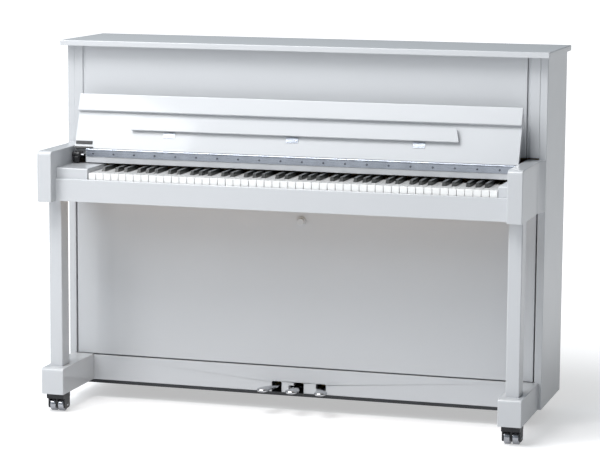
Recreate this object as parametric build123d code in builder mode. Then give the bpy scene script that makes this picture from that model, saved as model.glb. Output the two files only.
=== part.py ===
"""Upright piano, 110 cm tall, with an open folding fallboard, front legs and three pedals.

Millimetres. Origin at the centre of the footprint on the floor, +Z up, +X to the player's right,
the player sits at -Y. Every sub-part is written to parts/ under its own name.
"""
from build123d import *
import math
import os

os.makedirs("parts", exist_ok=True)

# Case, overall
WIDTH = 1490
DEPTH = 590
HEIGHT = 1100
FRONT_Y = -DEPTH / 2
BACK_Y = DEPTH / 2
LID_THICK = 16
LID_FRONT_Y = -57
LID_UNDER_Z = HEIGHT - LID_THICK
SIDE_THICK = 22
SIDE_OUT_X = 735
SIDE_IN_X = SIDE_OUT_X - SIDE_THICK
SIDE_FRONT_Y = -19
SIDE_BACK_Y = 283
CASE_FLOOR_Z = 58
PANEL_THICK = 20

# Arms, legs and toe blocks
ARM_IN_X = 678
ARM_OUT_X = 722
ARM_BOTTOM_Z = 640
ARM_TOP_Z = 790
LEG_X = 692
LEG_WIDTH = 40
LEG_FRONT_Y = -233
LEG_DEPTH = 55
TOE_IN_X = 657
TOE_OUT_X = 726
TOE_FRONT_Y = -267
TOE_BOTTOM_Z = 59
TOE_TOP_Z = 138
RAIL_TOP_Z = 135

# Lower panel and its catch
LOWER_HALF_WIDTH = 709
LOWER_FRONT_Y = -17
KNOB_X = 4
KNOB_Z = 578
KNOB_STEM = 4

# Keybed and key slip
KEYBED_BOTTOM_Z = 641
KEYBED_TOP_Z = 683
KEYBED_BACK_Y = 135
SLIP_FRONT_Y = -262
SLIP_TOP_Z = 707

# Keyboard
WHITE_PITCH = 23.5
WHITE_COUNT = 52
KEY_COUNT = 88
KEYBOARD_LEFT_X = 32 - WHITE_COUNT * WHITE_PITCH / 2
KEYBOARD_RIGHT_X = KEYBOARD_LEFT_X + WHITE_COUNT * WHITE_PITCH
KEY_FRONT_Y = -250
KEY_REAR_Y = 120
KEY_BOTTOM_Z = 703
WHITE_TOP_Z = 726
HEAD_LENGTH = 50
BLACK_LENGTH = 95
BLACK_TOP_Z = 738
BLACK_LEVER_Z = 722
KEY_GAP = 1.2
BALANCE_Y = -35
SHARP_CLASSES = (1, 3, 6, 8, 10)
NOTE_NAMES = ("c", "c_sharp", "d", "d_sharp", "e", "f", "f_sharp", "g", "g_sharp", "a", "a_sharp", "b")

# Fallboard, open and leaning back
HINGE_Y = -122
HINGE_Z = 780
LEAN = 22.4
BOARD_HALF_WIDTH = 674
BOARD_THICK = 18
BOARD_LENGTH = 158
LIP_HEIGHT = 53
LIP_ABOVE = 13
LIP_THICK = 12
FOLD_GAP = 0.6
SHELF_HINGE_U = 58.5
SHELF_HEIGHT = 40

# Action, strings and back
STRIKE_Z = 952
BASS_Y = 150
TREBLE_Y = 160
BASS_NOTES = 28
DAMPED_NOTES = 66
PLATE_Y = 180
PLATE_THICK = 12
SOUNDBOARD_Y = 208
SOUNDBOARD_THICK = 8
POST_Y = 232
PIN_BLOCK_Z = 955
HAMMER_PIVOT_Y = 100
ACTION_PIVOT_Z = 822
HAMMER_LEAN = 20
DAMPER_PIVOT_Y = 126
STRUT_XS = (-95, 258)
STRUT_WIDTH = 24

# Pedals
PEDAL_SPACING = 69
SLOT_WIDTH = 31
SLOT_TOP_Z = 90
PEDAL_PIVOT_Y = 95
PEDAL_PIVOT_Z = 78
PEDAL_TIP_Y = -114
PEDAL_SPLAY = 20
PEDAL_ROD_Y = 141

# Casters
FRONT_CASTER_X = (TOE_IN_X + TOE_OUT_X) / 2
FRONT_CASTER_Y = -222
WHEEL_TRAIL = 6
WHEEL_RADIUS = 20
WHEEL_WIDTH = 18
AXLE_RADIUS = 3
RUNNING_GAP = 0.08
REAR_CASTER_X = 640
REAR_CASTER_Y = 215
REAR_WHEEL_RADIUS = 18

# The fallboard's own plane: X along the board, Y up along it, Z out of the face the player sees.
BOARD_PLANE = Plane(
    origin=(0, HINGE_Y, HINGE_Z),
    x_dir=(1, 0, 0),
    z_dir=(0, -math.cos(math.radians(LEAN)), math.sin(math.radians(LEAN))),
)


def write(piece, name):
    """Label a finished piece and write it as its own STEP file."""
    piece.part.label = name
    export_step(piece.part, f"parts/{name}.step")


def span(x0, x1, y0, y1, z0, z1, mode=Mode.ADD):
    """A box between two corners, added to the open part."""
    with Locations(((x0 + x1) / 2, (y0 + y1) / 2, (z0 + z1) / 2)):
        Box(x1 - x0, y1 - y0, z1 - z0, mode=mode)


# ------------------------------------------------------------------ case
def build_side(sign, name):
    with BuildPart() as side:
        span(min(sign * SIDE_IN_X, sign * SIDE_OUT_X), max(sign * SIDE_IN_X, sign * SIDE_OUT_X),
             SIDE_FRONT_Y, SIDE_BACK_Y, CASE_FLOOR_Z, LID_UNDER_Z)
        front_edges = side.edges().filter_by(Axis.Z).group_by(Axis.Y)[0]
        fillet(front_edges, 2)
    write(side, name)


def build_arm(sign, name):
    """An arm: a straight cheek whose outer face flares out to the side panel at its back."""
    flare_start_y = -78
    with BuildPart() as arm:
        with BuildSketch(Plane.XY.offset(ARM_BOTTOM_Z)):
            with BuildLine():
                inner_front = (sign * ARM_IN_X, FRONT_Y)
                outer_front = (sign * ARM_OUT_X, FRONT_Y)
                outer_flare = (sign * ARM_OUT_X, flare_start_y)
                outer_back = (sign * SIDE_OUT_X, SIDE_FRONT_Y)
                inner_back = (sign * ARM_IN_X, SIDE_FRONT_Y)
                Polyline(inner_back, inner_front, outer_front, outer_flare)
                TangentArc(outer_flare, outer_back, tangent=(0, 1))
                Line(outer_back, inner_back)
            make_face()
        extrude(amount=ARM_TOP_Z - ARM_BOTTOM_Z)
        front_top = arm.edges().filter_by(Axis.X).group_by(Axis.Y)[0].sort_by(Axis.Z)[-1]
        fillet(front_top, 13)
        fillet(arm.edges().filter_by(Axis.Z).group_by(Axis.Y)[0], 3)
    write(arm, name)


def build_leg(sign, name):
    with BuildPart() as leg:
        with BuildSketch(Plane.XY.offset(TOE_TOP_Z)):
            with Locations((sign * LEG_X, LEG_FRONT_Y + LEG_DEPTH / 2)):
                RectangleRounded(LEG_WIDTH, LEG_DEPTH, 3)
        extrude(amount=ARM_BOTTOM_Z - TOE_TOP_Z)
    write(leg, name)


def build_toe_block(sign, name):
    stem_radius = 5
    stem_depth = 32
    with BuildPart() as toe:
        with BuildSketch(Plane.XY.offset(TOE_BOTTOM_Z)):
            with Locations((sign * (TOE_IN_X + TOE_OUT_X) / 2, (TOE_FRONT_Y + SIDE_FRONT_Y) / 2)):
                Rectangle(TOE_OUT_X - TOE_IN_X, SIDE_FRONT_Y - TOE_FRONT_Y)
        extrude(amount=TOE_TOP_Z - TOE_BOTTOM_Z)
        front_top = toe.edges().filter_by(Axis.X).group_by(Axis.Y)[0].sort_by(Axis.Z)[-1]
        fillet(front_top, 10)
        fillet(toe.edges().filter_by(Axis.Z).group_by(Axis.Y)[0], 2.5)
        with Locations((sign * FRONT_CASTER_X, FRONT_CASTER_Y, TOE_BOTTOM_Z + stem_depth / 2)):
            Cylinder(stem_radius + RUNNING_GAP, stem_depth, mode=Mode.SUBTRACT)
    write(toe, name)


def build_lid():
    with BuildPart() as lid:
        span(-WIDTH / 2, WIDTH / 2, LID_FRONT_Y, BACK_Y, LID_UNDER_Z, HEIGHT)
        fillet(lid.edges().filter_by(Axis.Z), 3)
        fillet(lid.faces().sort_by(Axis.Z)[-1].edges(), 2.5)
    write(lid, "lid")


def build_lid_hinges():
    """Three short hinges on the back of the top beam: fixed leaves with their pins."""
    leaf_length = 90
    knuckle_radius = 3
    axis_y = 287
    axis_z = 1080
    with BuildPart() as hinges:
        for x in (-520, 0, 520):
            span(x - leaf_length / 2, x + leaf_length / 2, SIDE_BACK_Y, axis_y - 2, 1050, 1078)
            with Locations(Location((x, axis_y, axis_z), (0, 90, 0))):
                Cylinder(knuckle_radius, leaf_length)
    write(hinges, "lid_hinges")


def build_stiles():
    """The upright strips between the side panels and the upper panel, stepped on the inside."""
    step = 9
    step_back = 4
    with BuildPart() as stiles:
        for sign in (-1, 1):
            xs = sorted((sign * 686, sign * SIDE_IN_X))
            span(xs[0], xs[1], SIDE_FRONT_Y - 1, 8, 794, LID_UNDER_Z)
            xs = sorted((sign * (686 - step), sign * 686))
            span(xs[0], xs[1], SIDE_FRONT_Y - 1 + step_back, 8, 794, LID_UNDER_Z)
    write(stiles, "stiles")


def build_upper_panel():
    with BuildPart() as panel:
        span(-676, 676, -22, -22 + PANEL_THICK, 794, LID_UNDER_Z - 2)
        fillet(panel.edges().filter_by(Axis.Z).group_by(Axis.Y)[0], 2)
    write(panel, "upper_panel")


def build_lower_panel():
    with BuildPart() as panel:
        span(-LOWER_HALF_WIDTH, LOWER_HALF_WIDTH, LOWER_FRONT_Y, LOWER_FRONT_Y + PANEL_THICK,
             RAIL_TOP_Z + 3.5, KEYBED_BOTTOM_Z - 3)
        fillet(panel.faces().sort_by(Axis.Y)[0].edges(), 2)
        with Locations(Location((KNOB_X, LOWER_FRONT_Y + PANEL_THICK / 2, KNOB_Z), (90, 0, 0))):
            Cylinder(KNOB_STEM + RUNNING_GAP, PANEL_THICK, mode=Mode.SUBTRACT)
    write(panel, "lower_panel")


def build_catch_knob():
    """The round knob that turns the catch behind the lower panel, on a stem through it."""
    knob_front = Plane.XZ.offset(-LOWER_FRONT_Y + 0.3)
    catch_back = Plane.XZ.offset(-LOWER_FRONT_Y - PANEL_THICK - 4)
    with BuildPart() as knob:
        with BuildSketch(knob_front):
            with Locations((KNOB_X, KNOB_Z)):
                Circle(15)
        extrude(amount=4)
        with BuildSketch(knob_front.offset(4)):
            with Locations((KNOB_X, KNOB_Z)):
                Circle(11)
        extrude(amount=5)
        fillet(knob.faces().sort_by(Axis.Y)[0].edges(), 2)
        with BuildSketch(catch_back):
            with Locations((KNOB_X, KNOB_Z)):
                Circle(KNOB_STEM)
        extrude(amount=PANEL_THICK + 4.5)
        with BuildSketch(catch_back):
            with Locations((KNOB_X, KNOB_Z + 16)):
                RectangleRounded(12, 44, 5)
        extrude(amount=3)
    write(knob, "panel_catch_knob")


def build_bottom_rail():
    """The rail under the lower panel, with three rounded pedal slots open at the bottom."""
    notch_width = 16
    with BuildPart() as rail:
        span(-SIDE_IN_X, SIDE_IN_X, SIDE_FRONT_Y, 5, CASE_FLOOR_Z, RAIL_TOP_Z)
        slot_height = SLOT_TOP_Z - CASE_FLOOR_Z
        for x in (-PEDAL_SPACING, 0, PEDAL_SPACING):
            span(x - SLOT_WIDTH / 2, x + SLOT_WIDTH / 2, SIDE_FRONT_Y, 5,
                 CASE_FLOOR_Z, CASE_FLOOR_Z + slot_height, mode=Mode.SUBTRACT)
        span(-SLOT_WIDTH / 2 - notch_width, -SLOT_WIDTH / 2, SIDE_FRONT_Y, 5, 62, 80, mode=Mode.SUBTRACT)
        slot_tops = rail.edges().filter_by(Axis.Y).filter_by_position(Axis.Z, SLOT_TOP_Z - 1, SLOT_TOP_Z + 1)
        fillet(slot_tops, 4)
    write(rail, "bottom_rail")


def build_bottom_board():
    """The floor of the case, with a pair of cheeks that carry each pedal's pin."""
    cheek_gap = 25
    cheek_thick = 6
    with BuildPart() as board:
        span(-SIDE_IN_X, SIDE_IN_X, SIDE_FRONT_Y, 255, CASE_FLOOR_Z - 10, CASE_FLOOR_Z)
    with BuildPart() as cheeks:
        for x in (-PEDAL_SPACING, 0, PEDAL_SPACING):
            for side in (-1, 1):
                centre = x + side * (cheek_gap + cheek_thick) / 2
                span(centre - cheek_thick / 2, centre + cheek_thick / 2, PEDAL_PIVOT_Y - 14,
                     PEDAL_PIVOT_Y + 14, CASE_FLOOR_Z, PEDAL_PIVOT_Z + 12)
        with Locations(Location((0, PEDAL_PIVOT_Y, PEDAL_PIVOT_Z), (0, 90, 0))):
            Cylinder(4 + RUNNING_GAP, 3 * PEDAL_SPACING, mode=Mode.SUBTRACT)
        add(board.part)
    write(cheeks, "bottom_board")


# ------------------------------------------------------------------ keyboard
def note_class(note):
    """0 for C to 11 for B. Note 0 is the lowest A."""
    return (note + 9) % 12


def octave_left(note):
    """X of the left edge of the C at the start of this note's octave."""
    octave = (note + 9) // 12 - 1
    return KEYBOARD_LEFT_X + WHITE_PITCH * (2 + 7 * octave)


def tail_pitch(kind):
    return 3 * WHITE_PITCH / 5 if kind < 5 else 4 * WHITE_PITCH / 7


def tail_centre(note):
    """X of the narrow rear part of a key: five share three whites, seven share four."""
    kind = note_class(note)
    if kind < 5:
        return octave_left(note) + (kind + 0.5) * tail_pitch(kind)
    return octave_left(note) + 3 * WHITE_PITCH + (kind - 5 + 0.5) * tail_pitch(kind)


def white_left(note):
    white_index = (0, 0, 1, 1, 2, 3, 3, 4, 4, 5, 5, 6)[note_class(note)]
    return octave_left(note) + white_index * WHITE_PITCH


def notes_of(kind):
    return [note for note in range(KEY_COUNT) if note_class(note) == kind]


def build_white_keys(kind):
    """All the white keys of one name. Each is one piece: a wide head, a narrow tail."""
    name = NOTE_NAMES[kind]
    head_back_y = KEY_FRONT_Y + HEAD_LENGTH
    with BuildPart() as keys:
        with BuildSketch(Plane.XY.offset(KEY_BOTTOM_Z)):
            for note in notes_of(kind):
                left = white_left(note)
                tail_left = tail_centre(note) - tail_pitch(kind) / 2
                tail_right = tail_centre(note) + tail_pitch(kind) / 2
                if note == 0:
                    tail_left = left
                if note == KEY_COUNT - 1:
                    tail_right = left + WHITE_PITCH
                with Locations((left + WHITE_PITCH / 2, (KEY_FRONT_Y + head_back_y) / 2)):
                    Rectangle(WHITE_PITCH - KEY_GAP, HEAD_LENGTH)
                with Locations(((tail_left + tail_right) / 2, (KEY_FRONT_Y + 10 + KEY_REAR_Y) / 2)):
                    Rectangle(tail_right - tail_left - KEY_GAP, KEY_REAR_Y - KEY_FRONT_Y - 10)
        extrude(amount=WHITE_TOP_Z - KEY_BOTTOM_Z)
        front_corners = keys.edges().filter_by(Axis.Z).group_by(Axis.Y)[0]
        fillet(front_corners, 1.5)
        top_edges = keys.edges().filter_by(Axis.X).filter_by_position(Axis.Y, KEY_FRONT_Y - 1, KEY_FRONT_Y + 1)
        fillet(top_edges.filter_by_position(Axis.Z, WHITE_TOP_Z - 1, WHITE_TOP_Z + 1), 1)
    write(keys, f"keys_{name}")


def build_black_keys(kind):
    """All the black keys of one name: a lever with a tapered cap on its front part."""
    name = NOTE_NAMES[kind]
    front_gap = 1.8
    cap_front_y = KEY_FRONT_Y + HEAD_LENGTH + front_gap
    cap_width = 11.4
    top_width = 9.4
    cap_back_y = cap_front_y + BLACK_LENGTH
    front_slope = 6
    with BuildPart() as keys:
        for note in notes_of(kind):
            centre = tail_centre(note)
            half = (tail_pitch(kind) - KEY_GAP) / 2
            span(centre - half, centre + half, cap_front_y, KEY_REAR_Y, KEY_BOTTOM_Z, BLACK_LEVER_Z)
            with BuildSketch(Plane.XY.offset(BLACK_LEVER_Z)):
                with Locations((centre, (cap_front_y + cap_back_y) / 2)):
                    Rectangle(cap_width, BLACK_LENGTH)
            with BuildSketch(Plane.XY.offset(BLACK_TOP_Z)):
                with Locations((centre, (cap_front_y + front_slope + cap_back_y) / 2)):
                    Rectangle(top_width, BLACK_LENGTH - front_slope)
            loft()
    write(keys, f"keys_{name}")


def build_keybed():
    with BuildPart() as keybed:
        span(-ARM_IN_X, ARM_IN_X, KEY_FRONT_Y - 2, KEYBED_BACK_Y, KEYBED_BOTTOM_Z, KEYBED_TOP_Z)
    write(keybed, "keybed")


def build_key_slip():
    with BuildPart() as slip:
        span(-ARM_IN_X, ARM_IN_X, SLIP_FRONT_Y, KEY_FRONT_Y - 2, KEYBED_BOTTOM_Z, SLIP_TOP_Z)
        fillet(slip.edges().filter_by(Axis.X).group_by(Axis.Y)[0].sort_by(Axis.Z)[-1], 3)
    write(slip, "key_slip")


def build_key_blocks():
    top_z = 738
    with BuildPart() as blocks:
        span(-ARM_IN_X, KEYBOARD_LEFT_X - 2, KEY_FRONT_Y - 2, -98, KEYBED_TOP_Z, top_z)
        span(KEYBOARD_RIGHT_X + 2, ARM_IN_X, KEY_FRONT_Y - 2, -98, KEYBED_TOP_Z, top_z)
        fillet(blocks.edges().filter_by(Axis.X).group_by(Axis.Y)[0].group_by(Axis.Z)[-1], 4)
    write(blocks, "key_blocks")


def build_key_frame():
    """Front, balance and back rails tied by two end pieces; the keys rock on the middle rail."""
    left = KEYBOARD_LEFT_X + 1
    right = KEYBOARD_RIGHT_X - 1
    front_rail_top = 691
    with BuildPart() as frame:
        span(left, right, -240, -205, KEYBED_TOP_Z, front_rail_top)
        span(left, right, BALANCE_Y - 10, BALANCE_Y + 10, KEYBED_TOP_Z, KEY_BOTTOM_Z - 1)
        span(left, right, 95, 118, KEYBED_TOP_Z, KEY_BOTTOM_Z - 0.4)
        span(left, left + 40, -205, 95, KEYBED_TOP_Z, front_rail_top)
        span(right - 40, right, -205, 95, KEYBED_TOP_Z, front_rail_top)
    write(frame, "key_frame")


def build_nameboard_rail():
    """The fixed rail behind the keys; its top slopes back under the fallboard's end."""
    with BuildPart() as rail:
        with BuildSketch(Plane.YZ.offset(-638)):
            with BuildLine():
                Polyline((-121, 741), (-121, 776), (-103, 768), (-103, 741), close=True)
            make_face()
        extrude(amount=638 + ARM_IN_X)
        span(-677, 677, -103, -24, 764, 776)
    write(rail, "nameboard_rail")


# ------------------------------------------------------------------ fallboard
def build_fallboard():
    with BuildPart() as board:
        with BuildSketch(BOARD_PLANE):
            with Locations((0, (4 + BOARD_LENGTH) / 2)):
                Rectangle(2 * BOARD_HALF_WIDTH, BOARD_LENGTH - 4)
        extrude(amount=-BOARD_THICK)
        fillet(board.edges().filter_by(Axis.X).sort_by(Axis.Z)[-2:], 3)
    write(board, "fallboard")


def build_fallboard_lip():
    """The leaf that folds onto the face of the open board and hangs down when it is closed."""
    with BuildPart() as lip:
        with BuildSketch(BOARD_PLANE.offset(FOLD_GAP)):
            with Locations((0, BOARD_LENGTH + LIP_ABOVE - LIP_HEIGHT / 2)):
                Rectangle(2 * BOARD_HALF_WIDTH, LIP_HEIGHT)
        extrude(amount=LIP_THICK)
        fillet(lip.edges().filter_by(Axis.X), 2.5)
    write(lip, "fallboard_lip")


def build_music_shelf():
    """The flap that folds out of the board to carry the music, wider at its hinged edge."""
    bottom_u = SHELF_HINGE_U + 3
    top_u = bottom_u + SHELF_HEIGHT
    with BuildPart() as shelf:
        with BuildSketch(BOARD_PLANE.offset(FOLD_GAP)):
            with BuildLine():
                Polyline((-498, bottom_u), (498, bottom_u), (488, top_u), (-488, top_u), close=True)
            make_face()
        extrude(amount=LIP_THICK)
        outer_edges = shelf.faces().sort_by(Axis.Y)[0].edges().filter_by(Axis.X)
        chamfer(outer_edges.sort_by(Axis.Z)[0], 7)
        fillet(outer_edges.sort_by(Axis.Z)[-1], 2)
    write(shelf, "music_shelf")


def build_shelf_hinges():
    """Three small hinges: a leaf on the board and a barrel along the flap's lower edge."""
    with BuildPart() as hinges:
        for x in (-380, 0, 380):
            with BuildSketch(BOARD_PLANE):
                with Locations((x, SHELF_HINGE_U - 8)):
                    Rectangle(36, 14)
            extrude(amount=1.4)
            barrel_centre = BOARD_PLANE.from_local_coords((x, SHELF_HINGE_U, 2.4))
            with Locations(Location(barrel_centre, (0, 90, 0))):
                Cylinder(1.8, 36)
    write(hinges, "music_shelf_hinges")


def build_fallboard_hinge():
    """The long hinge: a leaf on the front of the nameboard rail and its barrel with the pin."""
    left = -636
    right = 674
    with BuildPart() as hinge:
        span(left, right, -122.6, -121, 759, 778)
        with Locations(Location(((left + right) / 2, HINGE_Y, HINGE_Z), (0, 90, 0))):
            Cylinder(2.6, right - left)
    write(hinge, "fallboard_hinge")


def build_soft_fall_damper():
    """The damper that slows the closing fallboard, at the left end of its hinge."""
    with BuildPart() as damper:
        span(-677, -642, -138, -112, 739, 772)
        fillet(damper.edges().filter_by(Axis.X), 4)
        with Locations(Location((-657, HINGE_Y, HINGE_Z), (0, 90, 0))):
            Cylinder(3, 34)
        span(-672, -646, HINGE_Y - 3, HINGE_Y + 3, 770, 780)
    write(damper, "soft_fall_damper")


# ------------------------------------------------------------------ action
def build_action_frame():
    """Thin cast brackets and the rails between them, with one whippen under each hammer."""
    bracket_xs = [octave_left(note) for note in (3, 27, 51, 75)]
    rail_left = KEYBOARD_LEFT_X - 6
    rail_right = KEYBOARD_RIGHT_X + 6
    bracket_xs += [rail_left + 2, rail_right - 2]
    with BuildPart() as frame:
        span(rail_left, rail_right, 110, 120, 806, 828)
        for x in bracket_xs:
            span(x - 1.5, x + 1.5, 122, 134, KEYBED_TOP_Z, 1000)
            span(x - 1.5, x + 1.5, 110, 134, 800, 828)
        span(rail_left, rail_right, 122, 134, 770, 782)
    with BuildPart() as whippen:
        with BuildSketch(Plane.YZ):
            with BuildLine():
                Polyline((62, 742), (112, 736), (112, 748), (96, 752), (92, 800), (84, 800), (80, 752),
                         (62, 752), close=True)
            make_face()
        extrude(amount=4, both=True)
    with BuildPart() as whole:
        add(frame.part)
        with Locations(*[(tail_centre(note), 0, 0) for note in range(KEY_COUNT)]):
            add(whippen.part)
    write(whole, "action_frame")


def build_hammers():
    """One hammer per note, leaning forward at rest: butt, shank and felted head."""
    shank_length = 130
    tip = 50
    with BuildPart() as upright:
        with BuildSketch(Plane.YZ):
            with BuildLine():
                Polyline((-12, -8), (6, -8), (6, 10), (2, 22), (-8, 22), (-12, 10), close=True)
            make_face()
        extrude(amount=4, both=True)
        with Locations((0, -2, shank_length / 2 + 10)):
            Cylinder(2.7, shank_length - 10)
        with BuildSketch(Plane.YZ):
            with BuildLine():
                back = (-14, shank_length - 8)
                top = (-14, shank_length + 8)
                Line(back, top)
                Spline(top, (18, shank_length + 13), (tip, shank_length), (18, shank_length - 13), back)
            make_face()
        extrude(amount=4.8, both=True)
    leaning = upright.part.rotate(Axis.X, HAMMER_LEAN)
    leaning = leaning.moved(Location((0, HAMMER_PIVOT_Y, ACTION_PIVOT_Z)))
    with BuildPart() as hammers:
        with Locations(*[(tail_centre(note), 0, 0) for note in range(KEY_COUNT)]):
            add(leaning)
    write(hammers, "hammers")


def build_hammer_rest_rail():
    """The rail the shanks rest on, on two end arms that turn about the hammers' axis."""
    left = KEYBOARD_LEFT_X - 12
    right = KEYBOARD_RIGHT_X + 12
    with BuildPart() as rail:
        span(left, right, 42, 59, 900, 916)
        for x in (left + 2, right - 2):
            with BuildSketch(Plane.YZ.offset(x)):
                with BuildLine():
                    Polyline((42, 900), (59, 900), (106, 826), (100, 816), (92, 820), close=True)
                make_face()
            extrude(amount=2, both=True)
    write(rail, "hammer_rest_rail")


def build_dampers():
    """One damper for each damped note: lever, wire and a felted head against the strings."""
    def damper(felt_back_y):
        with BuildPart() as single:
            span(-4, 4, 122, 131, 812, 836)
            with Locations((0, 127, 865)):
                Cylinder(1.5, 60)
            span(-4.5, 4.5, 125, felt_back_y, 884, 914)
        return single.part

    bass_xs = [tail_centre(note) for note in range(BASS_NOTES)]
    treble_xs = [tail_centre(note) for note in range(BASS_NOTES, DAMPED_NOTES)]
    with BuildPart() as dampers:
        with Locations(*[(x, 0, 0) for x in bass_xs]):
            add(damper(BASS_Y - 2))
        with Locations(*[(x, 0, 0) for x in treble_xs]):
            add(damper(TREBLE_Y - 1.5))
    write(dampers, "dampers")


def build_muffler_rail():
    """The felt strip that drops between hammers and strings."""
    with BuildPart() as rail:
        span(KEYBOARD_LEFT_X - 4, KEYBOARD_RIGHT_X + 4, 137, 146, 1004, 1018)
        span(KEYBOARD_LEFT_X - 2, KEYBOARD_RIGHT_X + 2, 140, 144, 978, 1004)
    write(rail, "muffler_rail")


# ------------------------------------------------------------------ strings and back
def string_ends(note):
    """Top and bottom of a note's string as (x, z), and its y. The bass crosses over the rest."""
    x = tail_centre(note)
    top_z = 985 + 20 * (note % 3)
    if note < BASS_NOTES:
        slant = 0.35 - 0.27 * note / (BASS_NOTES - 1)
        bottom_z = 140 + note
        plane_y = BASS_Y
    else:
        step = (note - BASS_NOTES) / (KEY_COUNT - 1 - BASS_NOTES)
        slant = -0.2 + 0.15 * step
        bottom_z = 240 + 550 * step ** 1.3
        plane_y = TREBLE_Y
    top = (x + slant * (STRIKE_Z - top_z), top_z)
    bottom = (x + slant * (STRIKE_Z - bottom_z), bottom_z)
    return top, bottom, plane_y


def build_strings():
    """One wire for each note's unison, from its tuning pin down past the bridge."""
    with BuildPart() as strings:
        for note in range(KEY_COUNT):
            top, bottom, plane_y = string_ends(note)
            radius = 1.5 if note < BASS_NOTES else 0.7
            start = Vector(bottom[0], plane_y, bottom[1])
            along = Vector(top[0], plane_y, top[1]) - start
            with Locations(Plane(origin=start, z_dir=along).location):
                Cylinder(radius, along.length, align=(Align.CENTER, Align.CENTER, Align.MIN))
    write(strings, "strings")


def build_tuning_pins():
    """One pin for each note, driven through the plate into the pin block."""
    pin_radius = 3.5
    pin_front_y = 148.5
    with BuildPart() as pins:
        places = []
        for note in range(KEY_COUNT):
            top, bottom, plane_y = string_ends(note)
            wire = 1.5 if note < BASS_NOTES else 0.7
            places.append((top[0] + pin_radius + wire + 0.6, top[1]))
        with BuildSketch(Plane.XZ.offset(-222)):
            with Locations(*places):
                Circle(pin_radius)
        extrude(amount=222 - pin_front_y)
    write(pins, "tuning_pins")


def bridge_point(note, above):
    """A point on a note's string a given height above its bottom end, in X and Z."""
    top, bottom, plane_y = string_ends(note)
    share = above / (top[1] - bottom[1])
    return (bottom[0] + share * (top[0] - bottom[0]), bottom[1] + above)


def build_soundboard():
    """The spruce board, the ribs glued across its back and the two bridges on its front."""
    with BuildPart() as ribs:
        with BuildSketch(Plane.XZ.offset(-SOUNDBOARD_Y - SOUNDBOARD_THICK)):
            with Locations(*[Location((x, 545), 38) for x in range(-720, 721, 180)]):
                Rectangle(24, 1500)
            with Locations((0, 545)):
                Rectangle(1340, 740, mode=Mode.INTERSECT)
        extrude(amount=-14)
    with BuildPart() as whole:
        span(-700, 700, SOUNDBOARD_Y, SOUNDBOARD_Y + SOUNDBOARD_THICK, 130, PIN_BLOCK_Z)
        add(ribs.part)
        with BuildSketch(Plane.XZ.offset(-SOUNDBOARD_Y)):
            with BuildLine() as treble_line:
                Spline(*[bridge_point(note, 62) for note in (28, 42, 56, 70, 87)])
            trace(line_width=26)
            for x in STRUT_XS:
                with Locations((x, 545)):
                    Rectangle(STRUT_WIDTH + 6, 1000, mode=Mode.SUBTRACT)
        extrude(amount=SOUNDBOARD_Y - TREBLE_Y - 1.5)
    with BuildPart() as board:
        add(whole.part)
        with BuildSketch(Plane.XZ.offset(-SOUNDBOARD_Y)):
            with BuildLine():
                Line(bridge_point(0, 60), bridge_point(BASS_NOTES - 1, 50))
            trace(line_width=28)
        extrude(amount=SOUNDBOARD_Y - BASS_Y - 2.2)
    write(board, "soundboard")


def build_iron_plate():
    """The cast plate: a web under the pins, two sides, a foot, and struts between the bridges."""
    with BuildPart() as plate:
        with BuildSketch(Plane.XZ.offset(-PLATE_Y)):
            with Locations((0, 580)):
                RectangleRounded(1400, 940, 20)
            with Locations((0, 565)):
                RectangleRounded(1330, 780, 60, mode=Mode.SUBTRACT)
            with Locations(*[(x, 565) for x in STRUT_XS]):
                Rectangle(STRUT_WIDTH, 840)
        extrude(amount=-PLATE_THICK)
    write(plate, "iron_plate")


def build_back_frame():
    """The wooden back: top and bottom beams, five posts, the pin block and the liners."""
    with BuildPart() as beams:
        span(-SIDE_IN_X, SIDE_IN_X, POST_Y, SIDE_BACK_Y, 960, LID_UNDER_Z - 2)
        span(-SIDE_IN_X, SIDE_IN_X, POST_Y, SIDE_BACK_Y, CASE_FLOOR_Z, 170)
        for x in (-683, -341, 0, 341, 683):
            span(x - 30, x + 30, POST_Y, SIDE_BACK_Y, 170, 960)
        span(-700, 700, PLATE_Y + PLATE_THICK, POST_Y, PIN_BLOCK_Z, LID_UNDER_Z - 2)
        span(-700, 700, SOUNDBOARD_Y + SOUNDBOARD_THICK, POST_Y, 130, 170)
    write(beams, "back_frame")


# ------------------------------------------------------------------ pedals
def build_pedal(x, splay, name):
    """A pedal lever: bar on a cross pin, curving out to a wide rounded toe."""
    bar_width = 20
    toe_width = 38
    neck_y = SIDE_FRONT_Y - 10
    toe_y = PEDAL_TIP_Y + 26
    thick = 8
    with BuildPart() as pedal:
        with BuildSketch(Plane.XY.offset(PEDAL_PIVOT_Z - thick / 2)):
            with BuildLine():
                left_bar = (x - bar_width / 2, 148)
                left_neck = (x - bar_width / 2, neck_y)
                left_toe = (x + splay - toe_width / 2, toe_y)
                right_toe = (x + splay + toe_width / 2, toe_y)
                right_neck = (x + bar_width / 2, neck_y)
                right_bar = (x + bar_width / 2, 148)
                Line(left_bar, left_neck)
                Spline(left_neck, left_toe, tangents=((0, -1), (0, -1)))
                Spline(left_toe, (x + splay, PEDAL_TIP_Y), right_toe, tangents=((0, -1), (0, 1)))
                Spline(right_toe, right_neck, tangents=((0, 1), (0, 1)))
                Line(right_neck, right_bar)
                Line(right_bar, left_bar)
            make_face()
        extrude(amount=thick)
        with Locations(Location((x, PEDAL_PIVOT_Y, PEDAL_PIVOT_Z), (0, 90, 0))):
            Cylinder(4, 36)
    write(pedal, name)


def build_pedal_rod(x, name):
    """The dowel that carries a pedal's motion up past the keybed to the action."""
    rod_bottom = PEDAL_PIVOT_Z + 4.8
    with BuildPart() as rod:
        with BuildSketch(Plane.XY.offset(rod_bottom)):
            with Locations((x, PEDAL_ROD_Y)):
                Circle(4)
        extrude(amount=762 - rod_bottom)
    write(rod, name)


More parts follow.
